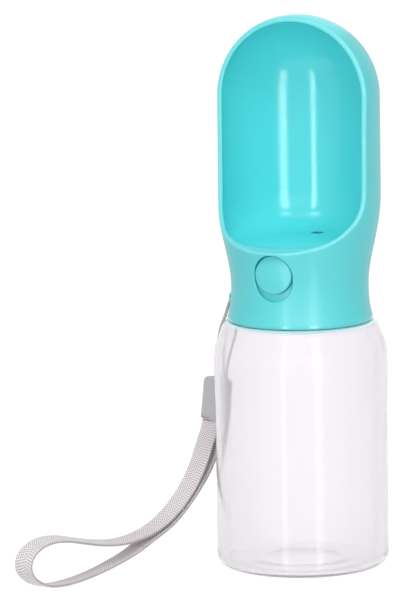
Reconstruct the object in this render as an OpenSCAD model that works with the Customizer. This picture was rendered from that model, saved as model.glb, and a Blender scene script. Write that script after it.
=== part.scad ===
// Dog travel water bottle: clear bottle, screw-on drinking head with a
// push-button valve and slide lock, and a wrist strap on a string loop.
// Millimetres. Origin: centre of the bottle's base, +Z up, trough towards -Y,
// strap lug towards -X.

/* [Bottle] */
// Radius of the bottle's straight wall
bottle_r = 35; // [34.8:0.05:35.1]
// Thickness of the bottle's wall
bottle_wall = 1.5; // [1.2:0.1:1.8]
// Radius of the fillet round the bottle's foot
foot_fillet = 4.8; // [3.5:0.1:5.5]
// Outer radius of the neck, under the thread
neck_r = 20.5; // [20.4:0.05:20.5]
// Radius of the neck's bore
neck_bore_r = 18.2; // [17.6:0.1:18.6]

/* [Screw thread] */
// Rise of the thread in one turn
pitch = 4; // [3.8:0.1:4.2]
// Radius of the crest of the bottle's thread
male_crest_r = 21.7; // [21.5:0.05:21.75]
// Radius of the crest of the cap's thread
female_crest_r = 20.95; // [20.95:0.05:21.1]

/* [Drinking head] */
// Radius of the head's dome and straight wall
head_r = 33.2; // [33:0.05:33.3]
// Thickness of the trough's wall
trough_wall = 2; // [1.8:0.1:2.3]
// Height of the trough's floor above the table
floor_z = 133.4; // [133.2:0.1:134]
// Radius of the drinking hole in the trough's floor
outlet_r = 2.2; // [1.8:0.1:2.4]
// Distance of the drinking hole behind the bottle's axis
outlet_y = 18.5; // [18:0.1:18.7]

/* [Button and lock] */
// Radius of the push button
button_r = 7.8; // [7.5:0.05:7.9]
// Height of the button's centre above the table
button_z = 122.9; // [122.8:0.05:122.9]
// Inward travel of the push button
press = 2.5; // [2:0.1:2.5]
// Downward travel of the slide lock
lock_travel = 2.8; // [2.4:0.1:2.8]

/* [Valve] */
// Distance of the valve stem behind the bottle's axis
valve_y = 6; // [5.8:0.1:6.2]
// Radius of the valve stem
stem_r = 1.5; // [1.4:0.05:1.5]
// Radius of the valve's seat opening
seat_r = 3.4; // [3:0.1:3.5]

/* [Wrist strap] */
// Width of the webbing
strap_w = 10; // [8:0.5:10]
// Thickness of the webbing
strap_t = 1.3; // [1:0.1:1.4]
// Diameter of the string loop
string_d = 1.4; // [1.2:0.1:1.4]
// Width of the strap's crimp
crimp_w = 11.2; // [11:0.1:11.4]
// Thickness of the strap's crimp
crimp_t = 4.6; // [4.2:0.1:4.6]

/* [Hidden] */
$fn = 96;

teal = [0.36, 0.85, 0.86];
head_c = 191.8;                    // height of the dome's centre
neck_top = 108.8;
plate_z0 = 110.2;                  // inner cap's plate, underside and top
plate_z1 = 112.0;
skirt_z = 101;                     // bottom edge of the head
under_z = floor_z - 2.2;           // underside of the trough's floor
bore_r = 26.4;                     // inside of the collar
lug = [-28.6, 0, 108];
lug_turn = -5;                     // turns the lug behind the -X direction

// ---- curves ----
function mix(a, b, t) = a + (b - a) * t;
function cr(a, b, c, d, t) =
    0.5 * (2 * b + (c - a) * t + (2 * a - 5 * b + 4 * c - d) * t * t
           + (3 * b - a - 3 * c + d) * t * t * t);
function spline(P, n) = let (m = len(P) - 1) [
    for (i = [0 : m - 1]) for (k = [0 : n - 1])
        cr(i == 0 ? 2 * P[0] - P[1] : P[i - 1], P[i], P[i + 1],
           i == m - 1 ? 2 * P[m] - P[m - 1] : P[i + 2], k / n),
    P[m]];
function unit(v) = v / norm(v);
function tangent(P, i) =
    unit(P[min(i + 1, len(P) - 1)] - P[max(i - 1, 0)]);
function arc(cx, cy, r, a0, a1, n) =
    [for (k = [0 : n]) let (a = mix(a0, a1, k / n))
        [cx + r * cos(a), cy + r * sin(a)]];

// Closed tube through rings of equal point count
module skin_rings(R) {
    n = len(R); m = len(R[0]);
    pts = [for (r = R) for (p = r) p];
    side = [for (i = [0 : n - 2]) for (j = [0 : m - 1])
        let (a = i * m + j, b = i * m + (j + 1) % m)
        each [[a, b, b + m], [a, b + m, a + m]]];
    polyhedron(pts, concat([[for (j = [m - 1 : -1 : 0]) j]], side,
                           [[for (j = [0 : m - 1]) (n - 1) * m + j]]));
}

// Helical ridge: section [r, z] points swept round +Z, tapered in at both ends
module ridge(sec, root_r, z0, a0, a1, lead, step = 15) {
    n = ceil((a1 - a0) / step);
    skin_rings([for (i = [0 : n])
        let (a = mix(a0, a1, i / n),
             k = min(1, 0.15 + 0.85 * min(i, n - i) / 3))
        [for (p = sec) let (r = root_r + (p[0] - root_r) * k)
            [r * cos(a), r * sin(a), z0 + lead * a / 360 + p[1]]]]);
}

// Compression spring along +Z from z = 0 to z = h
module coil(mean_r, wire_r, h, turns, seg = 14) {
    n = turns * seg;
    skin_rings([for (i = [0 : n])
        let (a = 360 * i / seg, t = i / n,
             z = wire_r + (h - 2 * wire_r) * t)
        [for (j = [0 : 5]) let (b = -60 * j)
            [(mean_r + wire_r * cos(b)) * cos(a),
             (mean_r + wire_r * cos(b)) * sin(a), z + wire_r * sin(b)]]]);
}

// Ring sector round the -Y direction, from -half to +half degrees
module sector(r0, r1, z0, z1, a0, a1)
    translate([0, 0, z0]) rotate([0, 0, -90 + a0])
        rotate_extrude(angle = a1 - a0) translate([r0, 0])
            square([r1 - r0, z1 - z0]);

module along_y() rotate([-90, 0, 0]) children();

// ---- bottle ----
shoulder_out = [[0, 62], [0.15, 70], [0.3, 78], [0.3, 83.5], [0.15, 87.5],
    [-0.1, 89.8], [-0.5, 91.4], [-1.1, 93], [-1.75, 94.7], [-2.35, 96.3],
    [-2.85, 97.7], [-3.4, 98.8], [-4.1, 99.7], [-4.8, 100.25], [-5.5, 100.55],
    [-6.2, 100.7]];
bottle_outer = concat(
    [[0, 0.55], [6, 0.55], [12, 0.53], [16, 0.5], [20, 0.4], [23, 0.2],
     [24.6, 0.06], [25.6, 0]],
    arc(bottle_r - foot_fillet, foot_fillet, foot_fillet, -90, 0, 8),
    [for (p = spline(shoulder_out, 2)) [bottle_r + p[0], p[1]]],
    [[22.6, 100.75], [21.2, 100.95], [neck_r, 101.8], [neck_r, neck_top - 0.6],
     [neck_r - 0.6, neck_top], [neck_bore_r + 0.4, neck_top]]);
shoulder_in = [[18.2, 101.2], [18.7, 99.9], [20.4, 99.3], [24, 99.2],
    [28, 99.2], [29, 98.9], [29.8, 98.1], [30.4, 97.1], [31, 95.7],
    [31.7, 94], [32.3, 92.3], [32.9, 90.7], [33.3, 89.2], [33.6, 87.2],
    [33.8, 83], [33.8, 78], [33.65, 70], [33.5, 62]];
bottle_inner = concat(
    [[neck_bore_r, neck_top - 0.4]],
    [for (p = spline(shoulder_in, 2))
        [p[1] > 100.5 ? neck_bore_r + p[0] - 18.2
                      : p[0] + (p[0] > 32 ? 1.5 - bottle_wall : 0), p[1]]],
    [[bottle_r - bottle_wall, 8.4], [33.4, 5.2], [33, 3.5], [32.3, 2.5],
     [31.2, 1.9], [29.6, 1.75], [27, 1.85], [23, 2.15], [20, 2.4],
     [18.2, 2.55], [17.4, 2.6], [16.6, 2.6], [15.5, 2.57], [14, 2.5],
     [11, 2.45], [6, 2.42], [0, 2.42]]);

module bottle() color([0.93, 0.93, 0.96, 0.4]) {
    rotate_extrude($fn = 128) polygon(concat(bottle_outer, bottle_inner));
    ridge([[20.2, -1], [male_crest_r, -0.45], [male_crest_r, 0.45], [20.2, 1]],
          20.2, 102.9, 0, 390, pitch);
}

// ---- drinking head ----
collar = concat(
    arc(28.3, skirt_z + 1.2, 1.2, -90, -15, 5),
    spline([[29.5, skirt_z + 1.2], [29.28, 103], [29.02, 104.1],
    [28.75, 105.3], [28.5, 106.6], [28.3, 108], [28.1, 110], [27.97, 112.2],
    [27.92, 114.5], [27.97, 117], [28.12, 119.3], [28.45, 122],
    [28.92, 124.8], [29.5, 127.8], [30.1, 130.5], [30.75, 133.4],
    [31.75, 138.5], [32.6, 143.8], [33.05, 148.5], [33.2, 153]], 3));

module head_outer(inset = 0) {
    rotate_extrude($fn = 128) polygon(concat([[0, skirt_z]],
        [for (p = collar) [p[0] + (head_r - 33.2) * (p[1] > 125 ? 1 : 0)
                           - inset, p[1]]],
        [[head_r - inset, head_c], [0, head_c]]));
}

rim = spline([[-36, 131.5], [-31.5, 132.1], [-29, 132.5], [-26.5, 133.6],
    [-23.5, 134.9], [-20.5, 136.6], [-17.2, 138.9], [-13.8, 141.9],
    [-11.2, 144.7], [-9.4, 147.8], [-8.3, 151.8], [-7.9, 157], [-7.7, 168],
    [-7.4, 182], [-7, 196], [-6.6, 207], [-6.2, 216], [-6, 230]], 3);

// Bowl of radius ri whose side turns into its floor over height b
module bowl(ri, b, p, top)
    rotate_extrude($fn = 128) polygon(concat(
        [for (k = [0, 0.4, 0.52, 0.6, 0.66, 0.72, 0.78, 0.83, 0.87, 0.905,
                   0.935, 0.96, 0.978, 0.989, 0.996, 1])
            [ri * k, floor_z + b * (1 - sqrt(1 - pow(k, p)))]],
        [[ri, top], [0, top]]));

module trough() {
    ri = head_r - trough_wall;
    bowl(ri, 16.5, 6.5, head_c);
    // towards the lip the floor runs further out, so that the rim stays thin
    translate([0, -5, 0]) bowl(27, 6, 9, 160);
    translate([0, 0, head_c]) sphere(ri, $fn = 128);
}

// Front opening: everything ahead of the rim's side curve
module front_cut()
    translate([-50, 0, 0]) rotate([90, 0, 90]) linear_extrude(100)
        polygon(concat([[-60, 131.5]], rim, [[-60, 230]]));

module window(r)
    translate([0, -22, 0]) rotate([90, 0, 0]) linear_extrude(20) {
        translate([0, button_z]) circle(r);
        translate([0, button_z - lock_travel]) circle(r);
        translate([-r, button_z - lock_travel]) square([2 * r, lock_travel]);
    }

module drinking_head() color(teal) {
    difference() {
        union() {
            head_outer();
            translate([0, 0, head_c]) sphere(head_r, $fn = 128);
            rotate([0, 0, lug_turn]) translate([lug[0], 2.2, lug[2]])
                rotate([90, 0, 0]) cylinder(r = 3.4, h = 4.4);
        }
        trough();
        front_cut();
        rotate_extrude($fn = 128) polygon([[0, skirt_z - 1],
            [27.9, skirt_z - 1], [27.8, skirt_z], [26.8, 104.5],
            [bore_r, 107.5], [bore_r, under_z], [0, under_z]]);
        window(button_r + 0.4);
        translate([0, outlet_y, under_z - 1]) cylinder(r = outlet_r, h = 6);
        rotate([0, 0, lug_turn]) translate([lug[0] - 1.5, 3, lug[2]])
            rotate([90, 0, 0]) cylinder(r = 1.0, h = 6);
    }
    // guide rails for the slide lock
    for (s = [-1, 1]) {
        sector(24.3, 26.6, plate_z1 + 0.4, under_z + 0.3,
               s > 0 ? 33 : -36, s > 0 ? 36 : -33);
        sector(24.2, 24.7, plate_z1 + 0.4, under_z + 0.3,
               s > 0 ? 30 : -33.5, s > 0 ? 33.5 : -30);
    }
}

// ---- cap, seals and valve housing ----
module inner_cap() color([0.88, 0.9, 0.9]) {
    difference() {
        union() {
            translate([0, 0, 101.9])
                cylinder(r = 24.2, h = plate_z1 - 101.9, $fn = 128);
            difference() {
                translate([0, 0, plate_z0])
                    cylinder(r = 26.3, h = plate_z1 - plate_z0, $fn = 128);
                sector(24, 30, plate_z0 - 1, plate_z1 + 1, -38, 38);
            }
        }
        translate([0, 0, 101]) cylinder(r = 22.1, h = plate_z0 - 101);
        translate([0, 0, 101.8]) cylinder(r1 = 22.9, r2 = 22.1, h = 0.8);
        translate([0, valve_y, 100]) cylinder(r = seat_r, h = 20);
    }
    ridge([[22.4, 1], [female_crest_r, 0.45], [female_crest_r, -0.45],
           [22.4, -1]], 22.4, 102.9 - 1.55, 180, 560, pitch);
}

module ring(r0, r1, z0, z1, y = 0)
    translate([0, y, z0]) difference() {
        cylinder(r = r1, h = z1 - z0);
        translate([0, 0, -1]) cylinder(r = r0, h = z1 - z0 + 2);
    }

module neck_seal() color([0.96, 0.96, 0.95])
    ring(18.4, 21.9, neck_top, plate_z0);

// Round valve chamber joined to a round outlet chamber
module chamber(r0, r1, z0, z1) {
    translate([0, valve_y, z0]) cylinder(r = r0, h = z1 - z0);
    translate([0, outlet_y, z0]) cylinder(r = r1, h = z1 - z0);
    translate([-r1, valve_y, z0]) cube([2 * r1, outlet_y - valve_y, z1 - z0]);
}

module valve_housing() color([0.85, 0.88, 0.88]) difference() {
    union() {
        chamber(6.6, 4.6, plate_z1, 119.2);
        chamber(7.6, 5.5, plate_z1, plate_z1 + 1);
        translate([0, outlet_y, 119]) cylinder(r = 3.9, h = under_z - 121);
    }
    chamber(5.3, 3.2, plate_z1 - 1, 117);
    translate([0, outlet_y, 110]) cylinder(r = outlet_r, h = 30);
    translate([0, valve_y, 110]) cylinder(r = stem_r + 0.08, h = 20);
    translate([0, valve_y, 117.7]) cylinder(r = 2.95, h = 5);
}

module outlet_seal() color([0.96, 0.96, 0.95])
    ring(outlet_r, 5, under_z - 2, under_z, outlet_y);

module stem_oring() color([0.15, 0.15, 0.16])
    translate([0, valve_y, 118.45]) rotate_extrude(convexity = 4)
        translate([stem_r + 0.74, 0]) circle(0.7, $fn = 32);

module oring_retainer() color([0.85, 0.88, 0.88])
    ring(stem_r + 0.15, 4.2, 119.2, 120, valve_y);

// ---- valve ----
module valve_stem() color([0.9, 0.9, 0.88]) translate([0, valve_y, 0]) {
    translate([0, 0, 99.8]) cylinder(r = stem_r, h = 127.3 - 99.8);
    translate([0, 0, 113.2]) cylinder(r = 4.2, h = 0.9);
}

module valve_seal() color([0.96, 0.96, 0.95])
    ring(stem_r, 4.6, plate_z1, 113.2, valve_y);

module valve_spring() color([0.75, 0.76, 0.78])
    translate([0, valve_y, 101.6]) coil(4.3, 0.4, plate_z0 - 101.6, 5);

module spring_retainer() color([0.85, 0.88, 0.88])
    ring(stem_r, 5.2, 100.4, 101.6, valve_y);

module lift_collar() color([0.9, 0.9, 0.88])
    ring(stem_r, 4.4, 125.7, 127.3, valve_y);

// ---- slide lock and button ----
module lock_slider() color(teal) difference() {
    union() {
        sector(24.9, 26.2, 110.4, under_z - 0.2, -32, 32);
        for (s = [-1, 1]) translate([s * 11 - 0.8, -22.9, 115.2])
            cube([1.6, 12.3, 7.9]);
        translate([-11.8, -12.2, 115.2]) cube([23.6, 1.6, 7.9]);
        translate([0, -14.2, 119.4]) along_y() cylinder(r = 1.6, h = 3);
    }
    translate([0, -40, button_z]) along_y()
        cylinder(r = button_r + 0.2, h = 25.5);
}

// Crowned face of the button: fuller than the waist below, shy of the flare above
button_face = spline([[27.55, 113.5], [28.05, 115.5], [28.38, 117.5],
    [28.58, 120], [28.62, 122.5], [28.52, 125], [28.25, 127.5],
    [27.8, 129.5], [27.2, 131.5]], 3);

module push_button() color(teal) {
    intersection() {
        translate([0, -40, button_z]) along_y()
            cylinder(r = button_r, h = 14.6);
        rotate_extrude($fn = 128) polygon(concat([[0, 113.5]], button_face,
                                                 [[0, 131.5]]));
    }
    translate([0, -25.4, button_z]) along_y() cylinder(r = 6, h = 3.7);
    intersection() {
        translate([0, -22.9, button_z]) along_y() cylinder(r = 9.3, h = 1.2);
        translate([-15, -30, 115.2]) cube([30, 20, 15.5]);
    }
    translate([0, -22, 119.4]) along_y() cylinder(r = 1.6, h = 4.5);
}

module cam_fork() color([0.9, 0.9, 0.88]) {
    difference() {
        union() {
            translate([-4.6, -21.7, 123.4]) cube([9.2, 31.9, 1.7]);
            // 45 degree cam face that lifts the collar
            translate([-4.6, 0, 0]) rotate([90, 0, 90]) linear_extrude(9.2)
                polygon([[-1.4, 125], [-1.4, 128.4], [-0.8, 128.4],
                         [2.6, 125]]);
        }
        translate([-1.9, -1.8, 120]) cube([3.8, 20, 12]);
    }
    translate([-4.6, -21.7, 123.4]) cube([9.2, 1, 4.4]);
}

module button_spring() color([0.75, 0.76, 0.78])
    translate([0, -21.7, 119.4]) along_y() coil(2.9, 0.35, 9.5, 6);

// ---- wrist strap ----
strap_a = -23;                       // direction of the webbing's width
crimp_h = 17.8;                      // height of the crimp
crimp_lean = 5.6;                    // lean of the crimp, foot outwards
// Route of the webbing's centre line, crimp to loop end and back
webbing_route = [
    [-44.03, 8.31, 54.86], [-44.14, 8.26, 53.57], [-44.15, 6.5, 50.6], [-44.4, 3.6, 47],
    [-44.6, 0.2, 42.6], [-45.1, -3.6, 37.5], [-46.5, -8, 31.5],
    [-48.5, -14, 25.8], [-51, -21, 20.8], [-54.5, -29.5, 16.8],
    [-58.5, -38.5, 14.6], [-62, -48, 13.8], [-66, -57, 14.6],
    [-69.5, -66.5, 17], [-73, -75, 19.3], [-76, -82, 20],
    [-78.5, -88.5, 18.8], [-80.3, -92.7, 16], [-81, -94.5, 12],
    [-80.5, -93.5, 7.8], [-78.7, -89.7, 4.2], [-76.5, -84.5, 2],
    [-74, -78, 1.2], [-70.5, -68.5, 1.5], [-66.5, -59, 3], [-63, -50, 5],
    [-59, -40.5, 8], [-55.5, -31.5, 12], [-51.5, -22, 16.8],
    [-48.5, -14, 22.8], [-46, -7, 29.2], [-44, -1, 35.8], [-43, 4, 42.3],
    [-42.8, 8, 48.6], [-43.1, 9.9, 51.6], [-43.29, 10.28, 53.41], [-43.17, 10.33, 54.71]];
// Route of the string's centre line, crimp through the lug and back
string_route = [
    [-41.2, 8.8, 72.47], [-41.2, 8.7, 74.5], [-40.6, 7.2, 79.5],
    [-38.9, 4.4, 85.5], [-36.75, 1, 91], [-34.05, -2.35, 96.5],
    [-31.95, -3, 101], [-30.95, -2.3, 104.8], [-30.5, -1.5, 106.8],
    [-30.18, 0.4, 108], [-29.99, 2.6, 108], [-29.8, 4.9, 108],
    [-30.4, 6.4, 107], [-31.3, 7.8, 104], [-32.5, 8.7, 100],
    [-34.3, 9.3, 94], [-36.4, 9.8, 87], [-38.6, 10.1, 80.5],
    [-40.3, 10.3, 74.7], [-40.5, 10.3, 72.35]];

module lanyard_webbing() color([0.78, 0.76, 0.78]) {
    w0 = [cos(strap_a), sin(strap_a), 0];
    c = 0.35; hw = strap_w / 2; ht = strap_t / 2;
    down = [-0.08983, -0.03813, -0.99523];      // out of the leaning crimp's mouth
    sec = [[hw, -ht + c], [hw, ht - c], [hw - c, ht], [-hw + c, ht],
           [-hw, ht - c], [-hw, -ht + c], [-hw + c, -ht], [hw - c, -ht]];
    skin_rings([for (i = [0 : len(webbing_route) - 1])
        let (t = i == 0 ? down
               : i == len(webbing_route) - 1 ? -down
               : tangent(webbing_route, i),
             w = unit(w0 - (w0 * t) * t), n = cross(w, t))
        [for (s = sec) webbing_route[i] + s[0] * w - s[1] * n]]);
}

module lanyard_string() color([0.6, 0.58, 0.58])
    skin_rings([for (i = [0 : len(string_route) - 1])
        let (t = i == 0 ? [0, 0, 1]
               : i == len(string_route) - 1 ? [0, 0, -1]
               : tangent(string_route, i),
             a = unit(cross(t, [1, 0, 0])), b = cross(t, a))
        [for (j = [0 : 7]) string_route[i]
            + string_d / 2 * (cos(45 * j) * a + sin(45 * j) * b)]]);

module lanyard_crimp() color([0.7, 0.7, 0.71])
    translate([-42, 10, 72.5])
    rotate(a = crimp_lean, v = [-sin(23), cos(23), 0])
    rotate([0, 0, strap_a])
        translate([0, crimp_t / 2, -crimp_h]) rotate([90, 0, 0])
            linear_extrude(crimp_t) {
                translate([-crimp_w / 2, 0])
                    square([crimp_w, crimp_h - 2.5]);
                translate([-crimp_w / 2 + 2.5, 0])
                    square([crimp_w - 5, crimp_h]);
                for (s = [-1, 1])
                    translate([s * (crimp_w / 2 - 2.5), crimp_h - 2.5])
                        circle(2.5);
            }

bottle();
drinking_head();
inner_cap();
neck_seal();
valve_housing();
outlet_seal();
stem_oring();
oring_retainer();
valve_stem();
valve_seal();
valve_spring();
spring_retainer();
lift_collar();
lock_slider();
push_button();
cam_fork();
button_spring();
lanyard_string();
lanyard_crimp();
lanyard_webbing();
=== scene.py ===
import math

import bpy
import numpy as np
from mathutils import Matrix, Vector


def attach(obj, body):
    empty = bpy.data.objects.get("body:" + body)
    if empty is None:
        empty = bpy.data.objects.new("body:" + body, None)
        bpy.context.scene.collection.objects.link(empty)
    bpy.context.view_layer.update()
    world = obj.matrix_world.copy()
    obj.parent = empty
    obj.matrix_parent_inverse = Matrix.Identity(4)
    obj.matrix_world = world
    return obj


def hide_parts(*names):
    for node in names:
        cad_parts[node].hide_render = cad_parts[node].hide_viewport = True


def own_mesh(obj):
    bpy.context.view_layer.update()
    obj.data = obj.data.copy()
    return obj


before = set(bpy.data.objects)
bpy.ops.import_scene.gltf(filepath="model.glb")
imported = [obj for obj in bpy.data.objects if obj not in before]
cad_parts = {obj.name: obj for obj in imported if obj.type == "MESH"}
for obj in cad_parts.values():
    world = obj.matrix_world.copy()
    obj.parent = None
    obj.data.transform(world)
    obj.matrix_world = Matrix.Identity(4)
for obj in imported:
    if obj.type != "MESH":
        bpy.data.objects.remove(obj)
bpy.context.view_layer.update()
scene = bpy.context.scene
MM = 0.001

# ---------------------------------------------------------------- camera
YAW, PITCH, ROLL = -0.0201, 0.1624, -0.0155
TURN = math.radians(23)


def turned(v):
    """A direction in the camera's own frame, turned into the object's frame."""
    c, s = math.cos(TURN), math.sin(TURN)
    return Vector((v[0] * c - v[1] * s, v[0] * s + v[1] * c, v[2]))


def make_camera():
    cy, sy, cp, sp = math.cos(YAW), math.sin(YAW), math.cos(PITCH), math.sin(PITCH)
    fwd = Vector((sy * cp, cy * cp, -sp))
    right = Vector((cy, -sy, 0))
    up = right.cross(fwd)
    r = right * math.cos(ROLL) + up * math.sin(ROLL)
    u = -right * math.sin(ROLL) + up * math.cos(ROLL)
    r, u, b = turned(r), turned(u), -turned(fwd)
    place = turned((0, -2.0, 0.43685))
    cam = bpy.data.objects.new("photo_camera", bpy.data.cameras.new("photo_camera"))
    scene.collection.objects.link(cam)
    cam.matrix_world = Matrix(((r.x, u.x, b.x, place.x), (r.y, u.y, b.y, place.y),
                               (r.z, u.z, b.z, place.z), (0, 0, 0, 1)))
    cam.data.sensor_fit = "HORIZONTAL"
    cam.data.sensor_width = 36
    cam.data.lens = 36 * 4993.11 / 402
    cam.data.clip_start, cam.data.clip_end = 0.05, 60
    scene.camera = cam


make_camera()


# ---------------------------------------------------------------- node materials
def sock(node, name):
    return node.inputs[name]


class Mat:
    """A small builder for a Principled material made of nodes."""

    def __init__(self, name):
        self.m = bpy.data.materials.new(name)
        self.m.use_nodes = True
        self.t = self.m.node_tree
        self.t.nodes.clear()
        self.out = self.t.nodes.new("ShaderNodeOutputMaterial")
        self.p = self.t.nodes.new("ShaderNodeBsdfPrincipled")
        self.t.links.new(self.p.outputs[0], self.out.inputs["Surface"])

    def node(self, kind, **values):
        n = self.t.nodes.new(kind)
        for k, v in values.items():
            if k in n.inputs:
                n.inputs[k].default_value = v
            else:
                setattr(n, k, v)
        return n

    def link(self, a, b):
        self.t.links.new(a, b)

    def set(self, **values):
        for k, v in values.items():
            self.p.inputs[k.replace("_", " ")].default_value = v

    def coords(self, scale=(1, 1, 1)):
        c = self.node("ShaderNodeTexCoord")
        m = self.node("ShaderNodeMapping")
        m.inputs["Scale"].default_value = scale
        self.link(c.outputs["Object"], m.inputs["Vector"])
        return m.outputs["Vector"]

    def noise(self, vector, scale, detail=3.0, rough=0.5):
        n = self.node("ShaderNodeTexNoise")
        n.inputs["Scale"].default_value = scale
        n.inputs["Detail"].default_value = detail
        n.inputs["Roughness"].default_value = rough
        self.link(vector, n.inputs["Vector"])
        return n.outputs["Fac"]

    def ramp(self, fac, stops):
        r = self.node("ShaderNodeValToRGB")
        e = r.color_ramp.elements
        while len(e) > 1:
            e.remove(e[-1])
        e[0].position = stops[0][0]
        e[0].color = tuple(stops[0][1]) + (1,)
        for pos, col in stops[1:]:
            x = e.new(pos)
            x.color = tuple(col) + (1,)
        self.link(fac, r.inputs["Fac"])
        return r.outputs["Color"]

    def span(self, fac, lo, hi, out_lo, out_hi):
        r = self.node("ShaderNodeMapRange")
        for k, v in zip(("From Min", "From Max", "To Min", "To Max"),
                        (lo, hi, out_lo, out_hi)):
            r.inputs[k].default_value = v
        self.link(fac, r.inputs["Value"])
        return r.outputs["Result"]

    def bump(self, height, strength, distance, into=None):
        b = self.node("ShaderNodeBump")
        b.inputs["Strength"].default_value = strength
        b.inputs["Distance"].default_value = distance
        self.link(height, b.inputs["Height"])
        if into is not None:
            self.link(into, b.inputs["Normal"])
        return b.outputs["Normal"]


def moulded(name, base, rough=(0.2, 0.3), tint=0.04, fine=0.15, wave=0.12, coat=0.0,
            specular=0.5, sss=0.0, sss_radius=(1, 1, 1), sss_scale=0.004):
    """Injection-moulded plastic: faint flow variation, a fine skin and a slow sink wave."""
    m = Mat(name)
    v = m.coords()
    slow = m.noise(v, 38.0, 2.0)
    fine_n = m.noise(v, 900.0, 4.0, 0.6)
    wave_n = m.noise(v, 60.0, 2.0, 0.4)
    lo = [max(0.0, c * (1 - tint)) for c in base]
    hi = [min(1.0, c * (1 + tint)) for c in base]
    m.link(m.ramp(slow, [(0.3, lo), (0.7, hi)]), m.p.inputs["Base Color"])
    m.link(m.span(m.noise(v, 210.0, 4.0, 0.6), 0.3, 0.7, *rough), m.p.inputs["Roughness"])
    n1 = m.bump(wave_n, wave, 0.0008)
    n2 = m.bump(fine_n, fine, 0.00004, into=n1)
    m.link(n2, m.p.inputs["Normal"])
    m.set(**{"IOR": 1.49, "Specular_IOR_Level": specular, "Coat_Weight": coat,
             "Coat_Roughness": 0.08})
    if sss:
        m.p.subsurface_method = "RANDOM_WALK"
        m.set(**{"Subsurface_Weight": sss, "Subsurface_Scale": sss_scale})
        m.p.inputs["Subsurface Radius"].default_value = sss_radius
    return m.m


TEAL = (0.082, 0.60, 0.635)


def teal_plastic():
    """Polished inside the trough, a satin skin with a thin gloss on the outside."""
    m = Mat("teal_gloss_plastic")
    v = m.coords()
    lo, hi = [c * 0.985 for c in TEAL], [c * 1.015 for c in TEAL]
    tint = m.ramp(m.noise(v, 38.0, 2.0), [(0.3, lo), (0.7, hi)])
    c = m.node("ShaderNodeTexCoord")
    flat = m.node("ShaderNodeVectorMath", operation="MULTIPLY")
    flat.inputs[1].default_value = (1, 1, 0)
    m.link(c.outputs["Object"], flat.inputs[0])
    unit = m.node("ShaderNodeVectorMath", operation="NORMALIZE")
    m.link(flat.outputs["Vector"], unit.inputs[0])
    dot = m.node("ShaderNodeVectorMath", operation="DOT_PRODUCT")
    m.link(unit.outputs["Vector"], dot.inputs[0])
    m.link(c.outputs["Normal"], dot.inputs[1])
    outside = m.span(dot.outputs["Value"], 0.42, 0.7, 0.0, 1.0)
    inner = m.span(m.noise(v, 210.0, 4.0, 0.6), 0.3, 0.7, 0.13, 0.18)
    outer = m.span(m.noise(v, 260.0, 4.0, 0.6), 0.3, 0.7, 0.42, 0.5)
    mix = m.node("ShaderNodeMix", data_type="FLOAT")
    m.link(outside, mix.inputs[0])
    m.link(inner, mix.inputs[2])
    m.link(outer, mix.inputs[3])
    # the collar's bottom edge keeps the polish of the mould
    cut = m.node("ShaderNodeSeparateXYZ")
    m.link(c.outputs["Object"], cut.inputs[0])
    foot = m.span(cut.outputs["Z"], 0.1021, 0.1028, 1.0, 0.0)
    mix2 = m.node("ShaderNodeMix", data_type="FLOAT")
    m.link(foot, mix2.inputs[0])
    m.link(mix.outputs[0], mix2.inputs[2])
    mix2.inputs[3].default_value = 0.1
    m.link(mix2.outputs[0], m.p.inputs["Roughness"])
    # painted shade and sheen: the outside gets a darker, greyer copy of the teal than the inside of the
    # trough, standing in for how the light falls on the outer skin and the whiter sheen on it
    outer_painted_shade = m.node("ShaderNodeMix", data_type="RGBA", blend_type="MULTIPLY")
    m.link(outside, outer_painted_shade.inputs[0])
    m.link(tint, outer_painted_shade.inputs[6])
    outer_painted_shade.inputs[7].default_value = (0.84, 0.78, 0.78, 1)
    # painted highlight: the thin lip round the trough is given a paler, whiter teal that stands in for the
    # light it catches
    lip = m.node("ShaderNodeMix", data_type="RGBA")
    m.link(m.node("ShaderNodeAttribute", attribute_name="rib").outputs["Fac"], lip.inputs[0])
    m.link(outer_painted_shade.outputs[2], lip.inputs[6])
    lip.inputs[7].default_value = (0.118, 0.525, 0.55, 1)
    m.link(lip.outputs[2], m.p.inputs["Base Color"])
    m.link(m.span(outside, 0.0, 1.0, 0.5, 0.45), m.p.inputs["Specular IOR Level"])
    coat = m.node("ShaderNodeMath", operation="MAXIMUM")
    m.link(m.span(outside, 0.0, 1.0, 0.0, 0.3), coat.inputs[0])
    m.link(foot, coat.inputs[1])
    m.link(coat.outputs[0], m.p.inputs["Coat Weight"])
    n1 = m.bump(m.noise(v, 60.0, 2.0, 0.4), 0.05, 0.0008)
    n2 = m.bump(m.noise(v, 900.0, 4.0, 0.6), 0.10, 0.00004, into=n1)
    m.link(n2, m.p.inputs["Normal"])
    m.set(**{"IOR": 1.49, "Coat_Roughness": 0.22, "Coat_IOR": 1.5})
    return m.m


mat_teal = teal_plastic()
mat_white = moulded("natural_white_plastic", (0.82, 0.84, 0.83), rough=(0.32, 0.45),
                    tint=0.02, sss=0.15)
mat_crimp = moulded("grey_crimp_plastic", (0.385, 0.385, 0.40), rough=(0.38, 0.5),
                    tint=0.05, fine=0.35, wave=0.2)


def silicone():
    m = Mat("clear_silicone")
    v = m.coords()
    m.link(m.ramp(m.noise(v, 120.0, 3.0), [(0.3, (0.86, 0.86, 0.84)), (0.7, (0.93, 0.93, 0.91))]),
           m.p.inputs["Base Color"])
    m.link(m.span(m.noise(v, 500.0, 3.0), 0.3, 0.7, 0.38, 0.55), m.p.inputs["Roughness"])
    m.link(m.bump(m.noise(v, 1500.0, 3.0), 0.2, 0.00003), m.p.inputs["Normal"])
    m.set(**{"IOR": 1.43, "Transmission_Weight": 0.35})
    return m.m


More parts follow.
